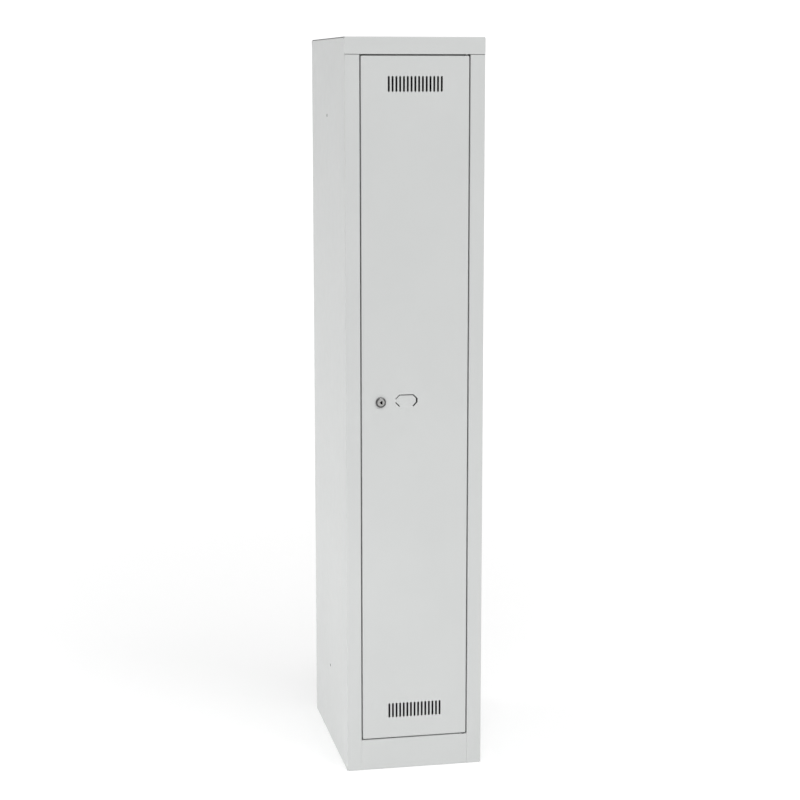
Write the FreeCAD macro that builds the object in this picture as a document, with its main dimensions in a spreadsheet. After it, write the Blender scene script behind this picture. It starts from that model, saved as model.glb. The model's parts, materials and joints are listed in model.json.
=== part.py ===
import FreeCAD, Part
import math
import os
import Sketcher

# Single-door clothes locker in folded sheet steel: two side panels, a back, a lapped top cap,
# head rail, plinth and floor, a hat shelf with a coat rail, and a vented pan door that swings on
# two pivot pins and closes with a cam lock.
# Millimetres, +Z up, front towards -Y. The origin is the middle of the footprint, on the floor.

SIZES = {
    # whole locker
    "width": 340,
    "depth": 500,
    "height": 1800,
    # sheet stock and the inner radius of its folds
    "body_sheet": 0.9,
    "door_sheet": 1.0,
    "bend": 1.0,
    # front frame
    "stile_width": 36,
    "stop_depth": 22,
    "stop_lap": 12,
    "plinth_height": 77.5,
    "plinth_foot": 15,
    "plinth_fit": 0.3,
    "foot_corner": 4,
    "cap_gap": 1.1,
    "cap_corner": 3,
    "apron_height": 40.5,
    "apron_corner": 5,
    "apron_edge": 0.4,
    "apron_joint": 1.2,
    "head_leg": 28,
    # rest of the carcass
    "back_flange": 20,
    "top_flange": 15,
    "cap_lip": 20,
    "relief": 4,
    "floor_step": 11.5,
    "floor_lip": 20,
    "plate_corner": 2,
    "link_radius": 3.4,
    "link_foot_inset": 195,
    "link_head_inset": 188,
    "link_depth": 260,
    # hat shelf and coat rail
    "shelf_drop": 300,
    "shelf_setback": 45,
    "shelf_lip": 20,
    "shelf_fit": 0.5,
    "cleat_leg": 20,
    "cleat_setback": 12,
    "rivet_inset": 70,
    "rivet_radius": 2,
    "rivet_head_radius": 3.4,
    "rivet_head": 1.2,
    "rivet_tail": 1.8,
    "rail_radius": 9.5,
    "rail_wall": 1.2,
    "rail_drop": 55,
    "rail_overhang": 8,
    "hanger_inset": 26,
    "hanger_sheet": 1.5,
    "hanger_width": 34,
    "hanger_flange": 18,
    "hanger_tail": 15,
    "hanger_corner": 11,
    "hanger_rivets": 18,
    # door pan
    "door_gap": 3,
    "head_gap": 3.8,
    "door_depth": 18,
    "door_lip": 12,
    "door_corner": 3,
    "vent_count": 15,
    "vent_pitch": 9.14,
    "vent_width": 4.8,
    "vent_height": 37,
    "vent_foot_inset": 70.4,
    "vent_head_inset": 65.6,
    "recess_inset": 109.8,
    "recess_rise": 13.9,
    "recess_width": 55,
    "recess_height": 30.5,
    "recess_corner": 10,
    "recess_slope": 3,
    "recess_depth": 2.5,
    "slit_width": 2.5,
    "entry_width": 3.4,
    "stiffener_inset": 190,
    "stiffener_margin": 115,
    "stiffener_web": 30,
    "stiffener_flange": 13,
    "stiffener_height": 14,
    # pivots and buffers
    "running": 0.05,
    "pivot_inset": 6,
    "pivot_depth": 6,
    "pin_radius": 3,
    "pin_reach": 8,
    "pin_head_radius": 4,
    "pin_head": 3,
    "pin_tip": 0.8,
    "bush_wall": 1.2,
    "bush_length": 9,
    "bush_collar": 1.2,
    "top_collar": 1.5,
    "bearing_gap": 0.1,
    "buffer_radius": 4.2,
    "buffer_neck": 2,
    "buffer_tail": 2,
    "buffer_squeeze": 0.1,
    "buffer_inset": 220,
    # cam lock
    "lock_inset": 46.3,
    "lock_rise": 11.4,
    "bezel_radius": 12.5,
    "bezel_proud": 6,
    "bezel_drop": 2.1,
    "bezel_round": 1.2,
    "mark_ring": 10.5,
    "mark_radius": 0.9,
    "barrel_radius": 9.5,
    "barrel_flats": 16.5,
    "plug_radius": 7,
    "plug_head_radius": 8.8,
    "plug_head": 1.6,
    "plug_sink": 0.7,
    "keyway_width": 7.2,
    "keyway_height": 8.6,
    "keyway_depth": 15,
    "lock_washer_radius": 13,
    "lock_washer_sheet": 0.8,
    "nut_flats": 24,
    "nut_height": 4,
    "cam_gap": 0.3,
    "cam_sheet": 2,
    "cam_length": 46,
    "cam_width": 18,
    "cam_corner": 4,
    "tail_square": 7,
    "cam_washer_radius": 6,
    "cam_washer_sheet": 1,
    "screw_radius": 2,
    "screw_reach": 8,
    "screw_head_radius": 4,
    "screw_head": 2.6,
    "screw_hex": 3,
    "screw_hex_depth": 1.6,
}

# ends of a sketch line, the middle of a circle or arc, and the sketch's own origin
START, END, MIDDLE = range(1, 4)
ORIGIN = -START
TOUCH = 1e-4


class Size:
    """A length that keeps its number together with the sheet formula behind it."""

    def __init__(self, formula, number):
        self.formula = formula
        self.number = float(number)

    def combined(self, sign, other, number):
        return Size(f"({self.formula} {sign} {other.formula})", number)

    def __add__(self, other):
        other = as_size(other)
        return self.combined("+", other, self.number + other.number)

    def __sub__(self, other):
        other = as_size(other)
        return self.combined("-", other, self.number - other.number)

    def __mul__(self, other):
        other = as_size(other)
        return self.combined("*", other, self.number * other.number)

    def __truediv__(self, other):
        other = as_size(other)
        return self.combined("/", other, self.number / other.number)

    def __radd__(self, other):
        return as_size(other) + self

    def __rsub__(self, other):
        return as_size(other) - self

    def __rmul__(self, other):
        return as_size(other) * self

    def __neg__(self):
        return as_size(-1) * self


def as_size(item):
    """A plain number as a size, so that both can be mixed."""
    if isinstance(item, Size):
        return item
    return Size(repr(float(item)), item)


class Sheet:
    """The driving sizes, read by their alias."""

    def __init__(self, document):
        table = document.addObject("Spreadsheet::Sheet", "Sizes")
        for row, (alias, number) in enumerate(SIZES.items(), start=1):
            table.set(f"A{row}", alias)
            table.set(f"B{row}", str(number))
            table.setAlias(f"B{row}", alias)
            setattr(self, alias, Size(f"Sizes.{alias}", number))
        document.recompute()


doc = FreeCAD.newDocument("metal_locker")
size = Sheet(doc)
pieces = []

# places that several pieces share, from the front plane (y), the floor (z) and the middle (x)
sheet = size.body_sheet
half_width = size.width / 2
opening_top = size.height - size.apron_height
opening_width = size.width - 2 * size.stile_width
crosspiece = opening_width - 2 * size.plinth_fit
stop_front = size.stop_depth - sheet
stop_back = size.stop_depth + sheet
back_inside = size.depth - 2 * sheet
floor_top = size.plinth_height + size.floor_step
shelf_top = size.height - size.shelf_drop
shelf_under = shelf_top - sheet
shelf_front = size.shelf_setback
shelf_back = back_inside - size.shelf_fit
cleat_rivet_x = half_width - sheet - size.cleat_leg / 2
cleat_rivet_front = shelf_front + size.rivet_inset
cleat_rivet_back = shelf_back - size.rivet_inset
rail_y = (shelf_front + shelf_back) / 2
rail_z = shelf_under - size.rail_drop
hanger_x = half_width - sheet - size.hanger_inset
hanger_rivet_x = hanger_x - (size.hanger_flange + size.hanger_sheet) / 2
door_left = size.stile_width + size.door_gap - half_width
door_bottom = size.plinth_height + size.door_gap
door_width = opening_width - 2 * size.door_gap
door_height = opening_top - size.head_gap - door_bottom
pivot_x = door_left + door_width - size.pivot_inset
bore_radius = size.pin_radius + size.running
bush_radius = bore_radius + size.bush_wall
buffer_x = size.stile_width + size.stop_lap / 2 + size.door_gap / 2 - half_width
lock_x = door_left + size.lock_inset
lock_z = door_bottom + door_height / 2 + size.lock_rise
barrel_back = size.stop_depth
cam_front = barrel_back + size.cam_gap
cam_back = cam_front + size.cam_sheet
nut_front = size.door_sheet + size.lock_washer_sheet


def new_body(name, x=0, y=0, z=0):
    """A piece of its own; y counts back from the front plane."""
    body = doc.addObject("PartDesign::Body", name)
    body.Label = name
    body.setExpression("Placement.Base.x", as_size(x).formula)
    body.setExpression("Placement.Base.y", (y - size.depth / 2).formula)
    body.setExpression("Placement.Base.z", as_size(z).formula)
    pieces.append(body)
    return body


def own(body, role):
    """One of the body's own origin planes or axes."""
    return next(item for item in body.Origin.OriginFeatures if item.Role == role)


def new_sketch(body, plane, lift=None):
    """A sketch on an origin plane, moved along that plane's normal by lift."""
    sketch = body.newObject("Sketcher::SketchObject", f"{body.Label}_outline")
    sketch.AttachmentSupport = [(own(body, f"{plane}_Plane"), "")]
    sketch.MapMode = "FlatFace"
    if lift is not None:
        sketch.setExpression("AttachmentOffset.Base.z", as_size(lift).formula)
    return sketch


def hold(sketch, kind, geometry, point, length):
    """Keeps a point's distance from the sketch origin at a size."""
    length = as_size(length)
    index = sketch.addConstraint(
        Sketcher.Constraint(kind, ORIGIN, START, geometry, point, length.number)
    )
    sketch.setExpression(f"Constraints[{index}]", length.formula)


def hold_point(sketch, geometry, point, across, up):
    hold(sketch, "DistanceX", geometry, point, across)
    hold(sketch, "DistanceY", geometry, point, up)


def hold_radius(sketch, geometry, radius):
    index = sketch.addConstraint(Sketcher.Constraint("Radius", geometry, radius.number))
    sketch.setExpression(f"Constraints[{index}]", radius.formula)


def join(sketch, first, first_point, second, second_point):
    sketch.addConstraint(
        Sketcher.Constraint("Coincident", first, first_point, second, second_point)
    )


def vector(across, up):
    return FreeCAD.Vector(as_size(across).number, as_size(up).number, 0)


def draw_polygon(sketch, corners):
    """A closed outline of straight lines through the corners."""
    first = sketch.GeometryCount
    count = len(corners)
    for index, corner in enumerate(corners):
        following = corners[(index + 1) % count]
        sketch.addGeometry(Part.LineSegment(vector(*corner), vector(*following)), False)
    for index, corner in enumerate(corners):
        join(sketch, first + index, END, first + (index + 1) % count, START)
        hold_point(sketch, first + index, START, *corner)


def heading(start, end):
    """The way from one corner to the next along a level or an upright line."""
    run = vector(*end) - vector(*start)
    return [0 if abs(part) < TOUCH else math.copysign(1, part) for part in (run.x, run.y)]


def draw_folded(sketch, corners):
    """A closed outline of level and upright lines; a corner with a radius becomes an arc."""
    count = len(corners)
    entries = []
    exits = []
    middles = []
    turns = []
    for index, (across, up, radius) in enumerate(corners):
        into = heading(corners[index - 1][:2], (across, up))
        out = heading((across, up), corners[(index + 1) % count][:2])
        entries.append((across - into[0] * radius, up - into[1] * radius))
        exits.append((across + out[0] * radius, up + out[1] * radius))
        middles.append((across + (out[0] - into[0]) * radius, up + (out[1] - into[1]) * radius))
        turns.append(into[0] * out[1] - into[1] * out[0])
    lines = []
    for index in range(count):
        ends = (vector(*exits[index]), vector(*entries[(index + 1) % count]))
        lines.append(sketch.addGeometry(Part.LineSegment(*ends), False))
        hold_point(sketch, lines[index], START, *exits[index])
    for index, (across, up, radius) in enumerate(corners):
        before, after = lines[index - 1], lines[index]
        if as_size(radius).number < TOUCH:
            join(sketch, before, END, after, START)
            continue
        hold_point(sketch, before, END, *entries[index])
        spots = [entries[index], exits[index]]
        joints = [(before, END), (after, START)]
        if turns[index] < 0:
            spots.reverse()
            joints.reverse()
        arc = draw_arc(sketch, *middles[index], *spots)
        join(sketch, *joints[0], arc, START)
        join(sketch, arc, END, *joints[1])
        hold(sketch, "DistanceX", arc, MIDDLE, middles[index][0])


def draw_strip(sketch, path, thickness=None):
    """Edge view of a folded sheet: one face follows the path, the other lies to the left of it."""
    thickness = thickness or size.body_sheet
    steps = [heading(start, end) for start, end in zip(path, path[1:])]
    lefts = [(-up, across) for across, up in steps]
    near = []
    far = []
    last = len(path) - 1
    for index, (across, up) in enumerate(path):
        sides = {max(index - 1, 0), min(index, last - 1)}
        shift = [sum(lefts[side][axis] for side in sides) for axis in (0, 1)]
        opposite = (across + shift[0] * thickness, up + shift[1] * thickness)
        radii = [0, 0]
        if 0 < index < last:
            before, after = steps[index - 1], steps[index]
            towards = before[0] * after[1] - before[1] * after[0] > 0
            radii = [size.bend + thickness, size.bend] if towards else [size.bend, size.bend + thickness]
        near.append((across, up, radii[0]))
        far.append((*opposite, radii[1]))
    draw_folded(sketch, near + far[::-1])


def handed(side, path):
    """A path drawn for the left-hand piece, mirrored for the right-hand one."""
    if side < 0:
        return path
    return [(-across, up) for across, up in reversed(path)]


def draw_rectangle(sketch, left, bottom, right, top):
    draw_polygon(sketch, [(left, bottom), (right, bottom), (right, top), (left, top)])


def draw_rounded_rectangle(sketch, left, bottom, right, top, radius):
    corners = [(left, bottom), (right, bottom), (right, top), (left, top)]
    draw_folded(sketch, [(across, up, radius) for across, up in corners])


def close_ring(sketch, ring):
    """Joins each piece of an outline to the start of the next."""
    for index, piece in enumerate(ring):
        join(sketch, piece, END, ring[(index + 1) % len(ring)], START)


def draw_circle(sketch, across, up, radius):
    circle = sketch.addGeometry(
        Part.Circle(vector(across, up), FreeCAD.Vector(0, 0, 1), radius.number), False
    )
    hold_point(sketch, circle, MIDDLE, across, up)
    hold_radius(sketch, circle, radius)


def draw_arc(sketch, across, up, start, end):
    """An arc round a middle, counter-clockwise between two points at the same distance."""
    middle = vector(across, up)
    begin = vector(*start) - middle
    finish = vector(*end) - middle
    circle = Part.Circle(middle, FreeCAD.Vector(0, 0, 1), begin.Length)
    begin_angle = math.atan2(begin.y, begin.x)
    finish_angle = math.atan2(finish.y, finish.x)
    return sketch.addGeometry(Part.ArcOfCircle(circle, begin_angle, finish_angle), False)


def draw_slot(sketch, across, up, width, length):
    """An upright slot with round ends."""
    left = across - width / 2
    right = across + width / 2
    low = up - (length - width) / 2
    high = up + (length - width) / 2
    right_side = sketch.addGeometry(Part.LineSegment(vector(right, low), vector(right, high)), False)
    top = draw_arc(sketch, across, high, (right, high), (left, high))
    left_side = sketch.addGeometry(Part.LineSegment(vector(left, high), vector(left, low)), False)
    bottom = draw_arc(sketch, across, low, (left, low), (right, low))
    close_ring(sketch, [right_side, top, left_side, bottom])
    hold_point(sketch, right_side, START, right, low)
    hold_point(sketch, right_side, END, right, high)
    hold_point(sketch, left_side, START, left, high)
    hold_point(sketch, left_side, END, left, low)
    hold(sketch, "DistanceY", top, MIDDLE, high)
    hold(sketch, "DistanceY", bottom, MIDDLE, low)


def draw_double_flat(sketch, radius, flats):
    """A round outline with two upright flats, centred on the sketch origin."""
    half = flats / 2
    reach = math.sqrt(radius.number**2 - half.number**2)
    right_side = sketch.addGeometry(Part.LineSegment(vector(half, -reach), vector(half, reach)), False)
    top = draw_arc(sketch, 0, 0, (half, reach), (-half, reach))
    left_side = sketch.addGeometry(Part.LineSegment(vector(-half, reach), vector(-half, -reach)), False)
    bottom = draw_arc(sketch, 0, 0, (-half, -reach), (half, -reach))
    close_ring(sketch, [right_side, top, left_side, bottom])
    for arc in (top, bottom):
        join(sketch, arc, MIDDLE, ORIGIN, START)
        hold_radius(sketch, arc, radius)
    for line, place in ((right_side, half), (left_side, -half)):
        hold(sketch, "DistanceX", line, START, place)
        hold(sketch, "DistanceX", line, END, place)


def octagon(across, up, width, height, corner):
    """Corners of a rectangle with its four corners cut at 45 degrees."""
    half = width / 2
    rise = height / 2
    return [
        (across - half + corner, up - rise),
        (across + half - corner, up - rise),
        (across + half, up - rise + corner),
        (across + half, up + rise - corner),
        (across + half - corner, up + rise),
        (across - half + corner, up + rise),
        (across - half, up + rise - corner),
        (across - half, up - rise + corner),
    ]


def add_feature(body, kind, profile):
    feature = body.newObject(f"PartDesign::{kind}", f"{body.Label}_{kind.lower()}")
    feature.Profile = profile
    return feature


def pad(body, profile, length, symmetric=False, backwards=False):
    """Adds the outline's thickness, along the sketch normal unless backwards."""
    feature = add_feature(body, "Pad", profile)
    feature.setExpression("Length", as_size(length).formula)
    feature.SideType = "Symmetric" if symmetric else "One side"
    feature.Reversed = backwards
    doc.recompute()
    return feature


def cut_through(body, profile):
    """Cuts the outline through the whole piece, both ways."""
    feature = add_feature(body, "Pocket", profile)
    feature.Type = "ThroughAll"
    feature.SideType = "Symmetric"
    return checked_cut(body, feature)


def cut(body, profile, length, backwards=False):
    """Cuts the outline against the sketch normal, or along it when backwards."""
    feature = add_feature(body, "Pocket", profile)
    feature.setExpression("Length", as_size(length).formula)
    feature.Reversed = backwards
    return checked_cut(body, feature)


def checked_cut(body, feature):
    before = feature.BaseFeature.Shape.Volume
    doc.recompute()
    if feature.Shape.Volume >= before:
        raise RuntimeError(f"a cut in {body.Label} removes nothing")
    return feature


def turn(body, profile):
    """Revolves the outline round the sketch's upright axis."""
    feature = add_feature(body, "Revolution", profile)
    feature.ReferenceAxis = (profile, ["V_Axis"])
    feature.Angle = 360
    doc.recompute()
    return feature


def round_edges(body, names, radius):
    base = body.Tip
    feature = body.newObject("PartDesign::Fillet", f"{body.Label}_fillet")
    feature.Base = (base, names)
    feature.setExpression("Radius", as_size(radius).formula)
    doc.recompute()
    return feature


def edges_along(body, axis, spots):
    """Names of the straight edges that run along an axis through the given spots."""
    others = [letter for letter in "xyz" if letter != axis]
    wanted = [(as_size(first).number, as_size(second).number) for first, second in spots]
    names = []
    for number, edge in enumerate(body.Tip.Shape.Edges, start=1):
        if not isinstance(edge.Curve, Part.Line):
            continue
        ends = [vertex.Point for vertex in edge.Vertexes]
        for spot in wanted:
            offsets = [abs(getattr(end, key) - at) for end in ends for key, at in zip(others, spot)]
            if max(offsets) < TOUCH:
                names.append(f"Edge{number}")
    return names


def edges_at_depth(body, depth, below=None):
    """Names of the edges that lie wholly at one depth, and reach below a height if one is given."""
    names = []
    for number, edge in enumerate(body.Tip.Shape.Edges, start=1):
        box = edge.BoundBox
        level = max(abs(box.YMin - depth.number), abs(box.YMax - depth.number)) < TOUCH
        if level and (below is None or box.ZMin < below.number - TOUCH):
            names.append(f"Edge{number}")
    return names


def fold(body, axis, outer, inner):
    """Rounds the outer and inner corners of a fold that runs along an axis."""
    round_edges(body, edges_along(body, axis, outer), size.bend + sheet)
    round_edges(body, edges_along(body, axis, inner), size.bend)


def repeat(body, feature, axis, length, second_axis=None, second_length=None):
    """Two copies of a feature a length apart, or four at the corners of a rectangle."""
    pattern = body.newObject("PartDesign::LinearPattern", f"{body.Label}_pattern")
    pattern.Originals = [feature]
    pattern.Direction = (own(body, f"{axis}_Axis"), [""])
    pattern.setExpression("Length", length.formula)
    pattern.Occurrences = 2
    if second_axis:
        pattern.Direction2 = (own(body, f"{second_axis}_Axis"), [""])
        pattern.setExpression("Length2", second_length.formula)
        pattern.Occurrences2 = 2
    body.Tip = pattern
    doc.recompute()


def side_panel(name, side):
    """Wall with the front stile and its return, a back flange and a top flange."""
    body = new_body(name, x=side * half_width)

    def inward(inset):
        return -side * as_size(inset)

    # the stile folds back into a return between the plinth and an open joint under the apron
    stile = size.stile_width
    wall_only = [(size.back_flange, size.depth), (0, size.depth), (0, size.bend + sheet)]
    wall = wall_only[:2] + [(0, 0), (stile, 0)]
    joint = opening_top - size.apron_joint
    wall_top = size.height - sheet - size.cap_gap
    zones = [
        (size.plinth_height, joint, wall + [(stile, stop_front - size.bend)]),
        (as_size(0), size.plinth_height, wall),
        (joint, opening_top, wall_only),
        (opening_top, wall_top, wall),
    ]
    for low, high, path in zones:
        section = new_sketch(body, "XY", low)
        draw_strip(section, handed(side, path))
        pad(body, section, high - low)

    # corner reliefs leave room for the cap's own folds
    corners = new_sketch(body, "YZ")
    relief_top = size.height + size.relief
    relief_bottom = wall_top - size.relief
    rear = size.depth - size.relief
    draw_rectangle(corners, -size.relief, relief_bottom, size.relief, relief_top)
    draw_rectangle(corners, rear, relief_bottom, size.depth + size.relief, relief_top)
    cut_through(body, corners)
    foot = new_sketch(body, "XZ")
    draw_polygon(foot, [(0, 0), (inward(size.foot_corner), 0), (0, size.foot_corner)])
    cut(body, foot, size.foot_corner)

    flange = new_sketch(body, "XZ", -size.relief)
    draw_rectangle(flange, inward(0), wall_top - sheet, inward(size.top_flange), wall_top)
    pad(body, flange, size.depth - 2 * size.relief, backwards=True)
    fold(body, "y", [(inward(0), wall_top)], [(inward(sheet), wall_top - sheet)])

    links = new_sketch(body, "YZ")
    for up in (size.link_foot_inset, size.height - size.link_head_inset):
        draw_circle(links, size.link_depth, up, size.link_radius)
    cut_through(body, links)


def door_stop(name, side):
    """Angle inside the stile's return; its free leg is the stop that the door closes on."""
    low = size.plinth_height + size.bend
    high = opening_top - size.bend
    body = new_body(name, x=side * half_width, z=low)
    seat = size.stile_width - sheet
    front = 2 * (size.bend + sheet)
    profile = new_sketch(body, "XY")
    path = [(seat, front), (seat, stop_front), (size.stile_width + size.stop_lap, stop_front)]
    draw_strip(profile, handed(side, path))
    pad(body, profile, high - low)
    return body


def left_door_stop():
    body = door_stop("left_door_stop", -1)
    seats = new_sketch(body, "XZ")
    for up in (size.buffer_inset, door_height - size.buffer_inset):
        draw_circle(seats, buffer_x + half_width, up + size.door_gap - size.bend, size.buffer_neck)
    cut_through(body, seats)


def corner_plate(name, side):
    """Closes the corner of the floor behind a stile."""
    body = new_body(name, x=side * half_width, z=floor_top - sheet)
    outline = new_sketch(body, "XY")
    edges = sorted((-side * sheet, side * (2 * sheet - size.stile_width)), key=lambda edge: edge.number)
    draw_rounded_rectangle(outline, edges[0], sheet, edges[1], stop_back, size.plate_corner)
    pad(body, outline, sheet)


def back_panel():
    """Flat sheet that lies inside the side panels' back flanges."""
    body = new_body("back_panel", y=back_inside)
    outline = new_sketch(body, "XY")
    reach = half_width - sheet - size.bend
    draw_rectangle(outline, -reach, 0, reach, sheet)
    pad(body, outline, size.height - size.relief)


def top_cap():
    """Flat top, clear of the walls, held by an apron lapped over the stiles and a lip down the back."""
    body = new_body("top_cap", z=size.height)
    profile = new_sketch(body, "YZ")
    front = -sheet
    back = size.depth + sheet
    lip = [(back, -size.cap_lip), (back, 0)]
    apron = [(front, 0), (front, -size.apron_height)]
    draw_strip(profile, lip + apron)
    pad(body, profile, size.width, symmetric=True)
    corners = [(side * half_width, -size.apron_height) for side in (-1, 1)]
    round_edges(body, edges_along(body, "y", corners), size.apron_corner)
    below_fold = -(size.bend + sheet)
    rim = edges_at_depth(body, front, below=below_fold)
    round_edges(body, rim, size.apron_edge)

    # the folds are dressed back at the cap's four corners
    clip = size.cap_corner
    for start in (front, size.depth - clip):
        clips = new_sketch(body, "XZ", -start)
        for side in (-1, 1):
            edge, inset = side * half_width, side * (half_width - clip)
            draw_polygon(clips, [(edge, 0), (inset, 0), (edge, -clip)])
        cut(body, clips, clip + sheet)


def head_rail():
    """Z-shaped rail behind the apron: top of the door opening, with the upper door stop."""
    body = new_body("head_rail", z=opening_top)
    profile = new_sketch(body, "YZ")
    stop = [(size.stop_depth, 0), (size.stop_depth, -size.stop_lap)]
    draw_strip(profile, [(0, size.head_leg), (0, 0)] + stop)
    pad(body, profile, crosspiece, symmetric=True)
    pivot_hole(body)


def plinth_panel():
    """Kick panel with a foot, a sill under the door and a step that is the lower door stop."""
    body = new_body("plinth_panel")
    profile = new_sketch(body, "YZ")
    sill = size.plinth_height
    step = [(size.stop_depth, floor_top), (size.stop_depth, sill)]
    face = [(0, sill), (0, 0), (size.plinth_foot, 0)]
    draw_strip(profile, step + face)
    pad(body, profile, crosspiece, symmetric=True)
    pivot_hole(body)


def pivot_hole(body):
    hole = new_sketch(body, "XY")
    draw_circle(hole, pivot_x, size.pivot_depth, bore_radius)
    cut_through(body, hole)


def floor_panel():
    """Shallow tray, open below, between the plinth's step and the back."""
    body = new_body("floor_panel", y=stop_back, z=floor_top)
    reach = half_width - sheet
    run = back_inside - size.bend - stop_back
    outline = new_sketch(body, "XY")
    draw_rectangle(outline, -reach, 0, reach, run)
    pad(body, outline, size.floor_lip, backwards=True)
    round_edges(body, edges_along(body, "x", [(0, 0), (run, 0)]), size.bend + sheet)
    hollow = new_sketch(body, "XY", -sheet)
    draw_rectangle(hollow, sheet - reach, sheet, reach - sheet, run - sheet)
    cut(body, hollow, size.floor_lip)
    round_edges(body, edges_along(body, "x", [(sheet, -sheet), (run - sheet, -sheet)]), size.bend)


def hat_shelf():
    """Shelf with a lip at the front and the back, riveted to the cleats and the rail hangers."""
    body = new_body("hat_shelf", z=shelf_top)
    profile = new_sketch(body, "YZ")
    back_lip = [(shelf_back, -size.shelf_lip), (shelf_back, 0)]
    front_lip = [(shelf_front, 0), (shelf_front, -size.shelf_lip)]
    draw_strip(profile, back_lip + front_lip)
    pad(body, profile, size.width - 2 * (sheet + size.shelf_fit), symmetric=True)
    holes = new_sketch(body, "XY")
    for side in (-1, 1):
        for back in (cleat_rivet_front, cleat_rivet_back):
            draw_circle(holes, side * cleat_rivet_x, back, size.rivet_radius)
        for shift in (-1, 1):
            back = rail_y + shift * size.hanger_rivets / 2
            draw_circle(holes, side * hanger_rivet_x, back, size.rivet_radius)
    cut_through(body, holes)


def shelf_cleat(name, side):
    """Angle on the side wall that carries one end of the shelf."""
    front = shelf_front + size.cleat_setback
    body = new_body(name, x=side * (half_width - sheet), y=front, z=shelf_under)
    profile = new_sketch(body, "XZ")
    leg = size.cleat_leg
    draw_strip(profile, handed(side, [(leg, 0), (0, 0), (0, -leg)]))
    pad(body, profile, shelf_back - size.cleat_setback - front, backwards=True)
    holes = new_sketch(body, "XY")
    for back in (cleat_rivet_front, cleat_rivet_back):
        draw_circle(holes, -side * leg / 2, back - front, size.rivet_radius)
    cut_through(body, holes)


def rivets(name, x, y, spread, grip):
    """Four blind rivets at the corners of a rectangle, domed heads on top of the shelf."""
    body = new_body(name, x=-x, y=y, z=shelf_top)
    profile = new_sketch(body, "XZ")
    draw_polygon(
        profile,
        [
            (0, size.rivet_head),
            (size.rivet_head_radius, size.rivet_head),
            (size.rivet_head_radius, 0),
            (size.rivet_radius, 0),
            (size.rivet_radius, -grip),
            (size.rivet_radius + size.rivet_head / 2, -grip),
            (size.rivet_radius + size.rivet_head / 2, -grip - size.rivet_tail),
            (0, -grip - size.rivet_tail),
        ],
    )
    rivet = turn(body, profile)
    repeat(body, rivet, "X", 2 * x, "Y", spread)


def shelf_rivets():
    spread = cleat_rivet_back - cleat_rivet_front
    rivets("shelf_rivets", cleat_rivet_x, cleat_rivet_front, spread, 2 * sheet)


def rail_rivets():
    first = rail_y - size.hanger_rivets / 2
    rivets("rail_rivets", hanger_rivet_x, first, size.hanger_rivets, sheet + size.hanger_sheet)


def coat_rail():
    """Tube across the locker under the shelf."""
    body = new_body("coat_rail", y=rail_y, z=rail_z)
    profile = new_sketch(body, "YZ")
    draw_circle(profile, 0, 0, size.rail_radius)
    draw_circle(profile, 0, 0, size.rail_radius - size.rail_wall)
    pad(body, profile, 2 * (hanger_x + size.rail_overhang), symmetric=True)


def rail_hanger(name, side):
    """Bent strap under the shelf with a round seat for the coat rail."""
    body = new_body(name, x=side * hanger_x, y=rail_y - size.hanger_width / 2, z=shelf_under)
    length = size.rail_drop + size.hanger_tail
    flange = size.hanger_flange
    profile = new_sketch(body, "XZ")
    draw_strip(profile, handed(side, [(flange, 0), (0, 0), (0, -length)]), size.hanger_sheet)
    pad(body, profile, size.hanger_width, backwards=True)
    tips = [(0, -length), (size.hanger_width, -length)]
    round_edges(body, edges_along(body, "x", tips), size.hanger_corner)
    seat = new_sketch(body, "YZ")
    draw_circle(seat, size.hanger_width / 2, -size.rail_drop, size.rail_radius + size.running)
    cut_through(body, seat)
    holes = new_sketch(body, "XY")
    for shift in (-1, 1):
        back = (size.hanger_width + shift * size.hanger_rivets) / 2
        draw_circle(holes, -side * (flange + size.hanger_sheet) / 2, back, size.rivet_radius)
    cut_through(body, holes)


def pivot_pin(name, up, seat, reach):
    """Headed pin through a frame flange into the door's bush; up is the way it points."""
    body = new_body(name, x=pivot_x, y=size.pivot_depth, z=seat)
    profile = new_sketch(body, "XZ")
    draw_polygon(
        profile,
        [
            (0, -up * size.pin_head),
            (size.pin_head_radius, -up * size.pin_head),
            (size.pin_head_radius, 0),
            (size.pin_radius, 0),
            (size.pin_radius, up * (reach - size.pin_tip)),
            (size.pin_radius - size.pin_tip, up * reach),
            (0, up * reach),
        ],
    )
    turn(body, profile)


def pivot_pins():
    pin = sheet + size.pin_reach
    pivot_pin("bottom_pivot_pin", 1, size.plinth_height - sheet, pin + size.door_gap)
    pivot_pin("top_pivot_pin", -1, opening_top + sheet, pin + size.head_gap)


def pivot_bush(name, up, seat, collar):
    """Flanged bush in a door edge; up is the way its barrel points."""
    body = new_body(name, x=pivot_x, y=size.pivot_depth, z=seat)
    profile = new_sketch(body, "XZ")
    collar_radius = bush_radius + size.bush_collar
    draw_polygon(
        profile,
        [
            (bore_radius, -up * collar),
            (collar_radius, -up * collar),
            (collar_radius, 0),
            (bush_radius, 0),
            (bush_radius, up * size.bush_length),
            (bore_radius, up * size.bush_length),
        ],
    )
    turn(body, profile)


def pivot_bushes():
    pivot_bush("bottom_bush", 1, door_bottom, size.door_gap - size.bearing_gap)
    pivot_bush("top_bush", -1, door_bottom + door_height, size.top_collar)


def door_buffers():
    """Two rubber buttons in the lock-side door stop."""
    body = new_body("door_buffers", x=buffer_x, y=stop_front, z=door_bottom + size.buffer_inset)
    face = size.door_depth + size.buffer_squeeze - stop_front
    profile = new_sketch(body, "XY")
    draw_polygon(
        profile,
        [
            (0, face),
            (size.buffer_radius - size.buffer_tail / 2, face),
            (size.buffer_radius, 0),
            (size.buffer_neck, 0),
            (size.buffer_neck, sheet),
            (size.buffer_neck + size.buffer_tail / 2, sheet),
            (size.buffer_neck, sheet + size.buffer_tail),
            (0, sheet + size.buffer_tail),
        ],
    )
    button = turn(body, profile)
    repeat(body, button, "Z", door_height - 2 * size.buffer_inset)


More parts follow.
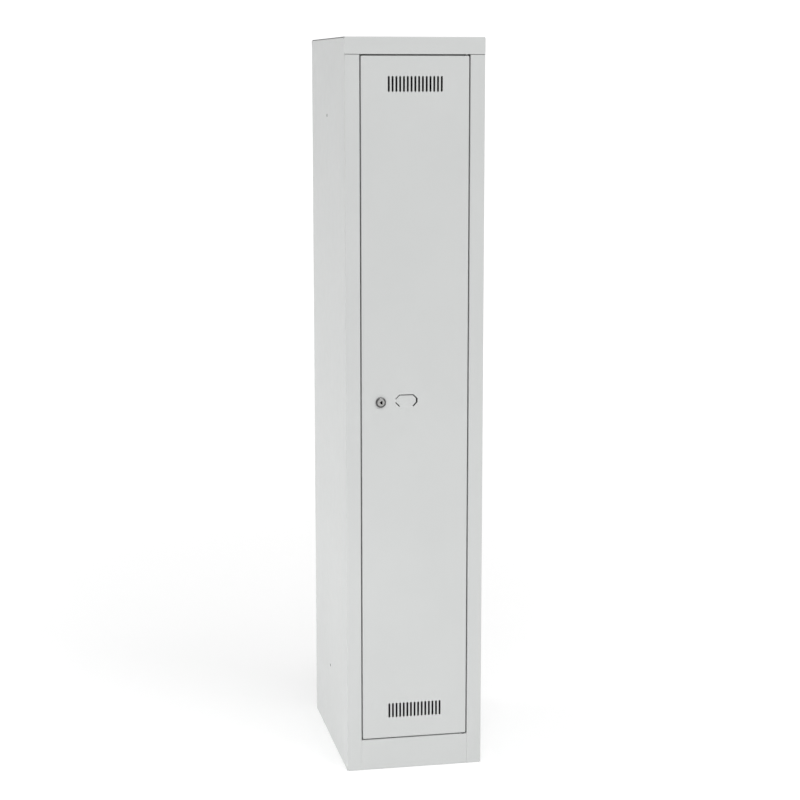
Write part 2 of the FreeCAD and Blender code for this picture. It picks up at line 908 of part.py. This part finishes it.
def door_panel():
    """Folded pan with pressed label recess, two rows of vent slots and the lock hole."""
    body = new_body("door_panel", x=door_left, z=door_bottom)
    skin = size.door_sheet
    width = door_width
    height = door_height
    outline = new_sketch(body, "XZ")
    draw_rounded_rectangle(outline, 0, 0, width, height, size.door_corner)
    pad(body, outline, size.door_depth, backwards=True)
    rims = edges_at_depth(body, as_size(0)) + edges_at_depth(body, size.door_depth)
    round_edges(body, rims, size.bend + skin)

    # hollow inside and the open back between the lips
    hollow_back = size.door_depth - skin
    hollow = new_sketch(body, "XZ", -hollow_back)
    inner_corner = size.door_corner - skin
    draw_rounded_rectangle(hollow, skin, skin, width - skin, height - skin, inner_corner)
    cut(body, hollow, hollow_back - skin, backwards=True)
    lips = new_sketch(body, "XZ", -size.door_depth)
    draw_rectangle(lips, size.door_lip, size.door_lip, width - size.door_lip, height - size.door_lip)
    cut(body, lips, 2 * skin, backwards=True)
    round_edges(body, edges_at_depth(body, skin), size.bend)
    label_recess(body, skin, height)
    vents = new_sketch(body, "XZ")
    first = width / 2 - (size.vent_count - 1) * size.vent_pitch / 2
    for up in (size.vent_foot_inset, height - size.vent_head_inset):
        draw_slot(vents, first, up, size.vent_width, size.vent_height)
    slots = cut_through(body, vents)
    rows = body.newObject("PartDesign::LinearPattern", "vent_rows")
    rows.Originals = [slots]
    rows.Direction = (own(body, "X_Axis"), [""])
    rows.Mode = "Spacing"
    rows.setExpression("Offset", size.vent_pitch.formula)
    rows.setExpression("Occurrences", size.vent_count.formula)
    body.Tip = rows
    doc.recompute()

    lock_hole = new_sketch(body, "XZ")
    lock_hole.setExpression("AttachmentOffset.Base.x", size.lock_inset.formula)
    lock_hole.setExpression("AttachmentOffset.Base.y", (height / 2 + size.lock_rise).formula)
    clear = size.running
    draw_double_flat(lock_hole, size.barrel_radius + clear, size.barrel_flats + 2 * clear)
    cut_through(body, lock_hole)
    bush_holes = new_sketch(body, "XY")
    draw_circle(bush_holes, width - size.pivot_inset, size.pivot_depth, bush_radius)
    cut_through(body, bush_holes)


def label_recess(body, skin, height):
    """Presses an eight-sided dish into the door skin, slit round its corners, top and right side."""
    slope = size.recess_slope
    floor_corner = size.recess_corner - slope * (2 - math.sqrt(2))
    middle = (size.recess_inset, height / 2 + size.recess_rise)
    mouth = (size.recess_width, size.recess_height, size.recess_corner)
    floor = (size.recess_width - 2 * slope, size.recess_height - 2 * slope, floor_corner)
    steps = [
        ("AdditiveLoft", skin / 2, size.recess_depth + skin, skin),
        ("SubtractiveLoft", as_size(0), size.recess_depth, 0),
    ]
    for kind, front, back, spread in steps:
        sections = []
        for depth, (wide, tall, corner) in ((front, mouth), (back, floor)):
            section = new_sketch(body, "XZ", -depth)
            draw_polygon(section, octagon(*middle, wide + spread, tall + spread, corner))
            sections.append(section)
        loft = add_feature(body, kind, sections[0])
        loft.Sections = sections[1:]
        loft.Ruled = True
        doc.recompute()

    # a card's corners slip behind the skin through the slits
    slits = new_sketch(body, "XZ")
    half, rise, corner = mouth[0] / 2, mouth[1] / 2, mouth[2]
    outer = (slope - size.slit_width) / 2 / math.sqrt(2)
    inner = (slope + size.slit_width) / 2 / math.sqrt(2)
    for right in (-1, 1):
        for up in (-1, 1):
            ends = [(half, rise - corner), (half - corner, rise)]
            reaches = [(ends[0], outer), (ends[1], outer), (ends[1], inner), (ends[0], inner)]
            draw_polygon(
                slits,
                [
                    (middle[0] + right * (across - shift), middle[1] + up * (level - shift))
                    for (across, level), shift in reaches
                ],
            )
    cut_through(body, slits)
    entries = new_sketch(body, "XZ")
    right = middle[0] + half - slope / 2
    top = middle[1] + rise - slope / 2
    wide, narrow = size.entry_width / 2, size.slit_width / 2
    across, level = half - corner, rise - corner
    draw_rectangle(entries, right - wide, middle[1] - level, right + wide, middle[1] + level)
    draw_rectangle(entries, middle[0] - across, top - narrow, middle[0] + across, top + narrow)
    cut_through(body, entries)


def door_stiffener():
    """Hat channel behind the door skin."""
    body = new_body(
        "door_stiffener",
        x=door_left + size.stiffener_inset,
        y=size.door_sheet,
        z=door_bottom + size.stiffener_margin,
    )
    web = size.stiffener_web / 2 - sheet
    foot = size.stiffener_web / 2 + size.stiffener_flange
    crown = size.stiffener_height - sheet
    profile = new_sketch(body, "XY")
    draw_strip(profile, [(-foot, 0), (-web, 0), (-web, crown), (web, crown), (web, 0), (foot, 0)])
    pad(body, profile, door_height - 2 * size.stiffener_margin)


def lock_body(name, y=0):
    """A piece on the lock's axis, y behind the door's face."""
    return new_body(name, x=lock_x, y=y, z=lock_z)


def lock_housing():
    """Conical bezel with two index dots on the door face, and a flat-sided barrel through the door."""
    body = lock_body("lock_housing")
    bore = size.plug_radius + size.running
    mouth = size.plug_head_radius + size.running
    face = -size.bezel_proud
    shoulder = face + size.bezel_drop
    seat = face + size.plug_sink + size.plug_head + size.running
    profile = new_sketch(body, "XY")
    draw_polygon(
        profile,
        [
            (bore, barrel_back),
            (size.barrel_radius, barrel_back),
            (size.barrel_radius, 0),
            (size.bezel_radius, 0),
            (size.bezel_radius, shoulder),
            (mouth, face),
            (mouth, seat),
            (bore, seat),
        ],
    )
    turn(body, profile)
    rim = [
        f"Edge{number}"
        for number, edge in enumerate(body.Tip.Shape.Edges, start=1)
        if isinstance(edge.Curve, Part.Circle)
        and abs(edge.Curve.Radius - size.bezel_radius.number) < TOUCH
        and abs(edge.Curve.Center.y - shoulder.number) < TOUCH
    ]
    round_edges(body, rim, size.bezel_round)
    flats = new_sketch(body, "XZ")
    near = size.barrel_flats / 2
    far = size.bezel_radius
    for side in (-1, 1):
        draw_rectangle(flats, side * near, -far, side * far, far)
    cut(body, flats, barrel_back)
    marks = new_sketch(body, "XZ", size.bezel_proud)
    for turned in (-20, 20):
        angle = math.radians(turned)
        across = size.mark_ring * math.sin(angle)
        draw_circle(marks, across, size.mark_ring * math.cos(angle), size.mark_radius)
    cut(body, marks, size.bezel_drop)


def lock_washer():
    ring("lock_washer", size.door_sheet, size.lock_washer_sheet, size.lock_washer_radius, size.barrel_radius)


def cam_washer():
    ring("cam_washer", cam_back, size.cam_washer_sheet, size.cam_washer_radius, size.screw_radius)


def ring(name, back, thickness, radius, bore):
    """Flat washer on the lock's axis."""
    body = lock_body(name, back)
    profile = new_sketch(body, "XY")
    inner = bore + size.running
    draw_rectangle(profile, inner, 0, radius, thickness)
    turn(body, profile)


def lock_nut():
    """Hexagon nut that clamps the lock from inside the door."""
    body = lock_body("lock_nut", nut_front)
    outline = new_sketch(body, "XZ")
    draw_hexagon(outline, size.nut_flats)
    draw_circle(outline, 0, 0, size.barrel_radius + size.running)
    pad(body, outline, size.nut_height, backwards=True)


def draw_hexagon(sketch, flats):
    """A hexagon with two upright points, centred on the sketch origin."""
    tip = flats / math.sqrt(3)
    half = flats / 2
    draw_polygon(
        sketch,
        [(half, -tip / 2), (half, tip / 2), (0, tip), (-half, tip / 2), (-half, -tip / 2), (0, -tip)],
    )


def lock_plug():
    """Turning plug with a keyway, and a square tail for the cam."""
    body = lock_body("lock_plug")
    face = size.plug_sink - size.bezel_proud
    profile = new_sketch(body, "XY")
    draw_polygon(
        profile,
        [
            (0, face),
            (size.plug_head_radius, face),
            (size.plug_head_radius, face + size.plug_head),
            (size.plug_radius, face + size.plug_head),
            (size.plug_radius, cam_front),
            (0, cam_front),
        ],
    )
    turn(body, profile)
    tail = new_sketch(body, "XZ", -cam_front)
    half = size.tail_square / 2
    draw_rectangle(tail, -half, -half, half, half)
    pad(body, tail, size.cam_sheet, backwards=True)
    keyway = new_sketch(body, "XZ", -face)
    slot = size.keyway_width / 2
    rise = size.keyway_height / 2
    draw_polygon(keyway, [(slot, -rise), (slot, rise), (slot / 3, rise), (-slot, 0), (slot / 3, -rise)])
    cut(body, keyway, size.keyway_depth)
    thread = new_sketch(body, "XZ", -cam_back)
    draw_circle(thread, 0, 0, size.screw_radius)
    cut(body, thread, size.screw_reach, backwards=True)


def lock_cam():
    """Flat tongue that hangs down when the lock is open."""
    body = lock_body("lock_cam", cam_front)
    half = size.cam_width / 2
    outline = new_sketch(body, "XZ")
    draw_rectangle(outline, -half, -size.cam_length, half, half)
    pad(body, outline, size.cam_sheet, backwards=True)
    tip = [(-half, -size.cam_length), (half, -size.cam_length)]
    round_edges(body, edges_along(body, "y", tip), size.cam_corner)
    head = [(-half, half), (half, half)]
    round_edges(body, edges_along(body, "y", head), half - size.running)
    square = new_sketch(body, "XZ")
    seat = size.tail_square / 2
    draw_rectangle(square, -seat, -seat, seat, seat)
    cut_through(body, square)


def cam_screw():
    """Socket screw that holds the cam on the plug's tail."""
    body = lock_body("cam_screw", cam_back + size.cam_washer_sheet)
    reach = size.screw_reach + size.cam_washer_sheet
    profile = new_sketch(body, "XY")
    draw_polygon(
        profile,
        [
            (0, size.screw_head),
            (size.screw_head_radius, size.screw_head),
            (size.screw_head_radius, 0),
            (size.screw_radius, 0),
            (size.screw_radius, -reach),
            (0, -reach),
        ],
    )
    turn(body, profile)
    socket = new_sketch(body, "XZ", -size.screw_head)
    draw_hexagon(socket, size.screw_hex)
    cut(body, socket, size.screw_hex_depth, backwards=True)


def build():
    side_panel("left_side_panel", -1)
    side_panel("right_side_panel", 1)
    left_door_stop()
    door_stop("right_door_stop", 1)
    back_panel()
    top_cap()
    head_rail()
    plinth_panel()
    floor_panel()
    corner_plate("left_corner_plate", -1)
    corner_plate("right_corner_plate", 1)
    hat_shelf()
    shelf_cleat("left_shelf_cleat", -1)
    shelf_cleat("right_shelf_cleat", 1)
    shelf_rivets()
    coat_rail()
    rail_hanger("left_rail_hanger", -1)
    rail_hanger("right_rail_hanger", 1)
    rail_rivets()
    pivot_pins()
    door_buffers()
    door_panel()
    door_stiffener()
    pivot_bushes()
    lock_housing()
    lock_washer()
    lock_nut()
    lock_plug()
    lock_cam()
    cam_washer()
    cam_screw()
    doc.recompute()


def check():
    """Stops before anything is written if a feature failed or a piece is not sound."""
    for item in doc.Objects:
        if "Invalid" in item.State or "Error" in item.State:
            raise RuntimeError(f"{item.Label} did not build")
    for piece in pieces:
        if piece.Shape.isNull() or not piece.Shape.isValid():
            raise RuntimeError(f"{piece.Label} is not a sound solid")


def write():
    os.makedirs("parts", exist_ok=True)
    for piece in pieces:
        piece.Shape.exportStep(f"parts/{piece.Label}.step")


build()
check()
write()
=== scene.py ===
"""Light grey steel clothes locker with one vented door, photographed on a white studio sweep.

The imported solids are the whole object. This script gives them their finishes, and adds the floor,
the light and the camera.
"""
import json
import math

import bpy
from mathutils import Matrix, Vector


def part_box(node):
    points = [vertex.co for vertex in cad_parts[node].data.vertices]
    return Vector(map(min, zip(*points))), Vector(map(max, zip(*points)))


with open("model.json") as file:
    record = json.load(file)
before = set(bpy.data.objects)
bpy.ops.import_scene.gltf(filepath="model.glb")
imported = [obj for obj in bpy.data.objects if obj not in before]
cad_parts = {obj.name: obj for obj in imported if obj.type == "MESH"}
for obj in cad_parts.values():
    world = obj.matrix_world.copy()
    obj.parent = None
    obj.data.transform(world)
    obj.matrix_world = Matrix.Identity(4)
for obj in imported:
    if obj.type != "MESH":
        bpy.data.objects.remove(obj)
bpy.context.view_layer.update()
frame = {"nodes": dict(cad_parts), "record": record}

MILLIMETRE = 0.001

# camera, fitted to the locker's corners: metres and degrees, with sensor and lens in millimetres
CAMERA_PLACE = (-0.9374, -4.7609, 1.7121)
CAMERA_TURN = 11.288
CAMERA_TILT = 9.602
SENSOR_WIDTH = 36
LENS = 86.59
VIEW_DEPTH = 100.0

# paint, plating, mouldings and paper, as linear colours
POWDER_GREY = (0.640, 0.652, 0.646)
ZINC = (0.40, 0.40, 0.39)
NICKEL = (0.36, 0.36, 0.353)
# the bezel's dark nickel, darkened further to stand in for the dark surroundings it would reflect: partly
# its own colour, partly painted reflection
DARK_NICKEL_AND_SHADE = (0.100, 0.100, 0.100)
CHROME = (0.62, 0.62, 0.63)
BLACK_NYLON = (0.022, 0.022, 0.024)
BLACK_RUBBER = (0.016, 0.016, 0.016)
# painted shade, laid into the link holes, the bezel's index dots and the keyway
DEEP_SHADE = (0.010, 0.010, 0.010)
STUDIO_WHITE = (1.0, 1.0, 1.0)
OPAQUE = 1.0

# middle range of noise, and the cosine between true and rounded normals on flat faces and at edges
NOISE_LOW = 0.3
NOISE_HIGH = 0.7
FLAT_MATCH = 0.995
EDGE_MATCH = 0.80

# powder coat: lumps to the metre, shares of the colour, wear and relief in metres, roughness
DRIFT_LUMPS = 4.0
DRIFT_SHADES = (0.985, 1.015)
WEAR_LUMPS = 60.0
WEAR_RADIUS = 0.0012
WEAR_MOST = 0.8
WEAR_SHADE = 1.10
PEEL_LUMPS = 700.0
PEEL_DEPTH = 0.00040
PEEL_STRENGTH = 0.80
GLOSS_LUMPS = 35.0
PAINT_ROUGHNESS = (0.44, 0.54)

# drawn plating: roughness, lumps to the metre, shares of the colour and of the roughness, relief in metres
ZINC_ROUGHNESS = 0.48
RAIL_ROUGHNESS = 0.12
PLUG_ROUGHNESS = 0.20
RING_ROUGHNESS = 0.30
COARSE_LUMPS = 500.0
FINE_LUMPS = 900.0
LINE_SHADES = (0.90, 1.08)
LINE_ROUGHNESS = (0.75, 1.3)
LINE_DEPTH = 0.00003
LINE_STRENGTH = 0.3
LINES_IN_A_PATCH = 3

# how much plating's lumps are squeezed along x, y and z; a small share draws them out into lines
UNDRAWN = (1.0, 1.0, 1.0)
DRAWN_ALONG = (0.04, 1.0, 1.0)
DRAWN_IN = (1.0, 0.15, 1.0)

# mouldings: roughness, lumps to the metre, shares of the colour and of the roughness, relief in metres
NYLON_ROUGHNESS = 0.55
RUBBER_ROUGHNESS = 0.80
CLOUD_LUMPS = 90.0
CLOUD_SHADES = (0.8, 1.3)
GRAIN_LUMPS = 1400.0
GRAIN_ROUGHNESS = (0.9, 1.15)
GRAIN_DEPTH = 0.00006
GRAIN_STRENGTH = 0.4

# painted shade around the link holes, in the index dots on the lock bezel and down the keyway: metres and
# degrees
LINK_SHADE_MARGIN = 0.0006
DOT_RING = 0.0105
DOT_TURN = 20
DOT_RADIUS = 0.00095
KEYWAY_LIP = 0.0003
KEYWAY_SHADE = 0.0010

# studio floor and the wall that it bends up into: metres
FLOOR_HALF_WIDTH = 14.0
FLOOR_FRONT = -9.0
WALL_PLACE = 7.0
WALL_HEIGHT = 9.0
BEND_RADIUS = 2.5
BEND_STEPS = 16

# paper: lumps to the metre, shares of white, roughness
PAPER_LUMPS = 40.0
PAPER_SHADES = (0.87, 0.89)
PAPER_ROUGHNESS = 0.9

# strength of the even light, and what the paper adds to it where it is seen, near the locker and far off
SKY_LIGHT = 0.57
SKY_SEEN = 1.0
NEAR_GLOW = 0.29
FAR_GLOW = 0.47
NEAR_REACH = 1.0
FAR_REACH = 5.0

# lamps: points that they are turned towards, in metres, and beams without and with a grid, in degrees
MIDDLE_AIM = (0.0, 0.0, 0.9)
LOW_AIM = (0.0, 0.0, 0.3)
OPEN_BEAM = 180
GRID_BEAM = 90


class Shader:
    """The nodes of a material or a world, added one by one and joined as they are added."""

    def __init__(self, owner, surface="Principled BSDF"):
        owner.use_nodes = True
        self.owner = owner
        self.tree = owner.node_tree
        self.surface = self.tree.nodes[surface]

    def join(self, socket, value):
        """Joins a socket to another node's output, or sets it to a number, a vector or a colour."""
        if isinstance(value, bpy.types.NodeSocket):
            self.tree.links.new(value, socket)
        elif socket.type == "RGBA":
            socket.default_value = (*value, OPAQUE)
        else:
            socket.default_value = value

    def feed(self, node, **inputs):
        """Joins or sets a node's inputs by their names."""
        for name, value in inputs.items():
            self.join(node.inputs[name.replace("_", " ")], value)

    def add(self, kind, **inputs):
        """A new node of one kind, with some of its inputs joined or set."""
        node = self.tree.nodes.new(f"ShaderNode{kind}")
        self.feed(node, **inputs)
        return node

    def reckon(self, kind, operation, *terms):
        """The outputs of a new node that does arithmetic on its inputs in their order."""
        node = self.add(kind)
        node.operation = operation
        for socket, term in zip(node.inputs, terms):
            self.join(socket, term)
        return node.outputs

    def number(self, operation, *terms):
        """Arithmetic on numbers."""
        return self.reckon("Math", operation, *terms)["Value"]

    def vector(self, operation, *terms):
        """Arithmetic on vectors that gives a vector."""
        return self.reckon("VectorMath", operation, *terms)["Vector"]

    def measure(self, operation, *terms):
        """Arithmetic on vectors that gives a number."""
        return self.reckon("VectorMath", operation, *terms)["Value"]

    def ramp(self, value, start, end, low, high):
        """A number carried from the range of start and end to that of low and high, and kept inside it."""
        node = self.add("MapRange", Value=value, From_Min=start, From_Max=end, To_Min=low, To_Max=high)
        return node.outputs["Result"]

    def place(self):
        """Points of the piece in metres, which stay with it when it moves."""
        return self.add("TexCoord").outputs["Object"]

    def noise(self, lumps, detail=3.0, squeeze=None):
        """Soft noise with so many lumps to the metre, drawn out along an axis if asked."""
        where = self.place()
        if squeeze is not None:
            where = self.add("Mapping", Vector=where, Scale=squeeze).outputs["Vector"]
        return self.add("TexNoise", Vector=where, Scale=lumps, Detail=detail).outputs["Fac"]

    def spread(self, noise, low=0.0, high=1.0):
        """Noise carried from its middle range to low and high."""
        return self.ramp(noise, NOISE_LOW, NOISE_HIGH, low, high)

    def tint(self, amount, first, second):
        """A colour between two, by an amount from 0 to 1."""
        mix = self.add("Mix")
        mix.data_type = "RGBA"
        self.join(mix.inputs[0], amount)
        ends = [socket for socket in mix.inputs if socket.type == "RGBA"]
        for socket, colour in zip(ends, (first, second)):
            self.join(socket, colour)
        return next(socket for socket in mix.outputs if socket.type == "RGBA")

    def relief(self, height, depth, strength):
        """Surface relief of a given depth in metres."""
        return self.add("Bump", Height=height, Distance=depth, Strength=strength).outputs["Normal"]

    def edges(self, radius):
        """1 along sharp edges, within a radius, and 0 on flat faces."""
        rounded = self.add("Bevel", Radius=radius).outputs["Normal"]
        true = self.add("NewGeometry").outputs["Normal"]
        match = self.measure("DOT_PRODUCT", rounded, true)
        return self.ramp(match, FLAT_MATCH, EDGE_MATCH, 0.0, 1.0)

    def clear_of_spots(self, middle, apart, axes, radius):
        """0 inside two round spots that mirror each other about a middle point, and 1 elsewhere."""
        away = self.vector("SUBTRACT", self.place(), middle)
        level = self.vector("MULTIPLY", away, axes)
        folded = self.vector("ABSOLUTE", level)
        return self.number("GREATER_THAN", self.measure("DISTANCE", folded, apart), radius)

    def seen_directly(self):
        """1 for rays that show a backdrop straight on, in gloss or through glass, and 0 for the rest."""
        path = self.add("LightPath").outputs
        shown = path["Is Camera Ray"]
        for name in ("Is Glossy Ray", "Is Transmission Ray"):
            shown = self.number("MAXIMUM", shown, path[name])
        return shown


def scaled(values, factor):
    """Each of a few values times a factor."""
    return tuple(value * factor for value in values)


def shades(colour, factors):
    """A colour times each of a few factors."""
    return [scaled(colour, factor) for factor in factors]


def shaded_link_rims(shader):
    """0 on a ring of painted shade around and inside the link holes in the side walls, and 1 elsewhere."""
    link = next(mount for mount in frame["record"]["mounts"] if mount["name"] == "left_link")
    apart = (0.0, 0.0, link["dims"]["spacing_y_mm"] * MILLIMETRE / 2)
    radius = link["dims"]["hole_r_mm"] * MILLIMETRE + LINK_SHADE_MARGIN
    return shader.clear_of_spots(link["pos_m"], apart, axes=(0.0, 1.0, 1.0), radius=radius)


def shaded_index_dots(shader):
    """0 in the two index dots at the top of the lock bezel, where shade is painted in, and 1 elsewhere."""
    low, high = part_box("lock_plug")
    middle = [(near + far) / 2 for near, far in zip(low, high)]
    middle[2] += DOT_RING * math.cos(math.radians(DOT_TURN))
    apart = (DOT_RING * math.sin(math.radians(DOT_TURN)), 0.0, 0.0)
    return shader.clear_of_spots(middle, apart, axes=(1.0, 0.0, 1.0), radius=DOT_RADIUS)


def shaded_keyway(shader):
    """1 on the face of the lock plug, falling to 0 down the keyway, where shade is painted in."""
    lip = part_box("lock_plug")[0][1] + KEYWAY_LIP
    depth = shader.add("SeparateXYZ", Vector=shader.place()).outputs["Y"]
    return shader.ramp(depth, lip, lip + KEYWAY_SHADE, 1.0, 0.0)


def darkened(shader, tone, clear):
    """A tone with painted shade, the deep shade colour, where a mask, if there is one, falls to 0."""
    if clear is None:
        return tone
    return shader.tint(clear(shader), DEEP_SHADE, tone)


def powder_coat(name, colour, clear=None):
    """Satin powder coat: faint drifts of tone, worn edges, a fine orange peel and painted shade where a mask
    asks.
    """
    shader = Shader(bpy.data.materials.new(name))
    drift = shader.spread(shader.noise(DRIFT_LUMPS))
    patches = shader.spread(shader.noise(WEAR_LUMPS, detail=4.0), high=WEAR_MOST)
    worn = shader.number("MULTIPLY", shader.edges(WEAR_RADIUS), patches)
    toned = shader.tint(drift, *shades(colour, DRIFT_SHADES))
    base = shader.tint(worn, toned, scaled(colour, WEAR_SHADE))
    tone = darkened(shader, base, clear)
    gloss = shader.spread(shader.noise(GLOSS_LUMPS), *PAINT_ROUGHNESS)
    peel = shader.relief(shader.noise(PEEL_LUMPS, detail=2.0), PEEL_DEPTH, PEEL_STRENGTH)
    shader.feed(shader.surface, Base_Color=tone, Roughness=gloss, Normal=peel)
    return shader.owner


def plated(name, colour, roughness, lumps, squeeze, clear=None):
    """Plated metal with fine drawn lines, a little unevenness and painted shade where a mask asks."""
    shader = Shader(bpy.data.materials.new(name))
    lines = shader.noise(lumps, squeeze=squeeze)
    patches = shader.noise(lumps / LINES_IN_A_PATCH, squeeze=squeeze)
    base = shader.tint(shader.spread(lines), *shades(colour, LINE_SHADES))
    tone = darkened(shader, base, clear)
    gloss = shader.spread(patches, *scaled(LINE_ROUGHNESS, roughness))
    drawn = shader.relief(lines, LINE_DEPTH, LINE_STRENGTH)
    shader.feed(shader.surface, Base_Color=tone, Roughness=gloss, Metallic=1.0, Normal=drawn)
    return shader.owner


def moulded(name, colour, roughness):
    """Dull moulded plastic or rubber with a spark-eroded grain."""
    shader = Shader(bpy.data.materials.new(name))
    clouds = shader.spread(shader.noise(CLOUD_LUMPS, detail=2.0))
    grain = shader.noise(GRAIN_LUMPS, detail=2.0)
    tone = shader.tint(clouds, *shades(colour, CLOUD_SHADES))
    gloss = shader.spread(grain, *scaled(GRAIN_ROUGHNESS, roughness))
    eroded = shader.relief(grain, GRAIN_DEPTH, GRAIN_STRENGTH)
    shader.feed(shader.surface, Base_Color=tone, Roughness=gloss, Normal=eroded)
    return shader.owner


def finishes():
    """One material for each slot of the record."""
    return {
        # the carcass paint carries painted shade around the link holes
        "carcass_paint": powder_coat("carcass_paint", POWDER_GREY, shaded_link_rims),
        "door_paint": powder_coat("door_paint", POWDER_GREY),
        "zinc_steel": plated("zinc_steel", ZINC, ZINC_ROUGHNESS, COARSE_LUMPS, UNDRAWN),
        "rail_chrome": plated("rail_chrome", CHROME, RAIL_ROUGHNESS, FINE_LUMPS, DRAWN_ALONG),
        # the lock plug carries painted shade down its keyway
        "lock_chrome": plated("lock_chrome", NICKEL, PLUG_ROUGHNESS, FINE_LUMPS, DRAWN_IN, shaded_keyway),
        # the bezel's tone is partly its own dark nickel and partly a painted reflection of dark
        # surroundings, with painted shade in its index dots
        "bezel_nickel": plated("bezel_nickel", DARK_NICKEL_AND_SHADE, RING_ROUGHNESS, FINE_LUMPS, DRAWN_IN, shaded_index_dots),
        "nylon": moulded("nylon", BLACK_NYLON, NYLON_ROUGHNESS),
        "rubber": moulded("rubber", BLACK_RUBBER, RUBBER_ROUGHNESS),
    }


def dress():
    """Gives every solid the finish of its slot."""
    made = finishes()
    for part in frame["record"]["subparts"]:
        for slot in frame["nodes"][part["node"]].material_slots:
            slot.material = made[part["material_slot"]]


def studio_white():
    """White paper. Where it is seen it glows a little, so it stays white under plain light."""
    shader = Shader(bpy.data.materials.new("studio_white"))
    fibre = shader.spread(shader.noise(PAPER_LUMPS))
    tone = shader.tint(fibre, *shades(STUDIO_WHITE, PAPER_SHADES))
    shader.feed(shader.surface, Base_Color=tone, Roughness=PAPER_ROUGHNESS)
    reach = shader.measure("LENGTH", shader.place())
    rise = shader.ramp(reach, NEAR_REACH, FAR_REACH, NEAR_GLOW, FAR_GLOW)
    strength = shader.number("MULTIPLY", shader.seen_directly(), rise)
    glow = shader.add("Emission", Color=STUDIO_WHITE, Strength=strength)
    both = shader.add("AddShader")
    shader.join(both.inputs[0], shader.surface.outputs["BSDF"])
    shader.join(both.inputs[1], glow.outputs["Emission"])
    shader.feed(shader.tree.nodes["Material Output"], Surface=both.outputs["Shader"])
    return shader.owner


def studio_floor():
    """A seamless white sheet that runs up behind the locker and keeps its shadow."""
    line = [(FLOOR_FRONT, 0.0)]
    for step in range(BEND_STEPS + 1):
        angle = math.radians(90) * step / BEND_STEPS
        y = WALL_PLACE - BEND_RADIUS + BEND_RADIUS * math.sin(angle)
        z = BEND_RADIUS - BEND_RADIUS * math.cos(angle)
        line.append((y, z))
    line.append((WALL_PLACE, WALL_HEIGHT))
    points = [(side * FLOOR_HALF_WIDTH, y, z) for side in (-1, 1) for y, z in line]
    count = len(line)
    faces = [(n, n + 1, count + n + 1, count + n) for n in range(count - 1)]
    mesh = bpy.data.meshes.new("studio_floor")
    mesh.from_pydata(points, [], faces)
    for face in mesh.polygons:
        face.use_smooth = True
    floor = bpy.data.objects.new("studio_floor", mesh)
    bpy.context.collection.objects.link(floor)
    mesh.materials.append(studio_white())


def soft_box(name, place, size, power, aim=MIDDLE_AIM, beam=OPEN_BEAM):
    """A diffuser panel turned towards a point; a grid, where it has one, narrows its beam."""
    light = bpy.data.lights.new(name, "AREA")
    light.shape = "RECTANGLE"
    light.size, light.size_y = size
    light.energy = power
    light.spread = math.radians(beam)
    lamp = bpy.data.objects.new(name, light)
    lamp.location = place
    away = Vector(place) - Vector(aim)
    lamp.rotation_euler = away.to_track_quat("Z", "Y").to_euler()
    lamp.visible_camera = False
    bpy.context.collection.objects.link(lamp)


def studio_light():
    """Even white surroundings, a strip overhead, a panel on the left and two low boxes: metres and watts."""
    world = bpy.data.worlds.new("studio")
    bpy.context.scene.world = world
    shader = Shader(world, "Background")
    strength = shader.ramp(shader.seen_directly(), 0.0, 1.0, SKY_LIGHT, SKY_SEEN)
    shader.feed(shader.surface, Color=STUDIO_WHITE, Strength=strength)
    soft_box("top_soft_box", place=(1.4, -4.6, 5.8), size=(7.5, 0.5), power=190.0)
    soft_box("side_soft_box", place=(-5.0, 1.5, 1.6), size=(2.0, 2.0), power=30.0)
    low = {"aim": LOW_AIM, "beam": GRID_BEAM}
    soft_box("left_soft_box", place=(-2.6, 0.9, 0.25), size=(2.0, 0.5), power=4.0, **low)
    soft_box("front_soft_box", place=(-0.7, -1.9, 0.25), size=(1.0, 0.3), power=1.3, **low)


def camera():
    """The photograph's viewpoint, turned to the right and tilted down."""
    lens = bpy.data.cameras.new("photograph")
    lens.sensor_width = SENSOR_WIDTH
    lens.lens = LENS
    lens.clip_end = VIEW_DEPTH
    view = bpy.data.objects.new("photograph", lens)
    view.location = CAMERA_PLACE
    view.rotation_euler = (math.radians(90 - CAMERA_TILT), 0.0, math.radians(-CAMERA_TURN))
    bpy.context.collection.objects.link(view)
    bpy.context.scene.camera = view


dress()
studio_floor()
studio_light()
camera()
bpy.context.scene.view_settings.view_transform = "Standard"
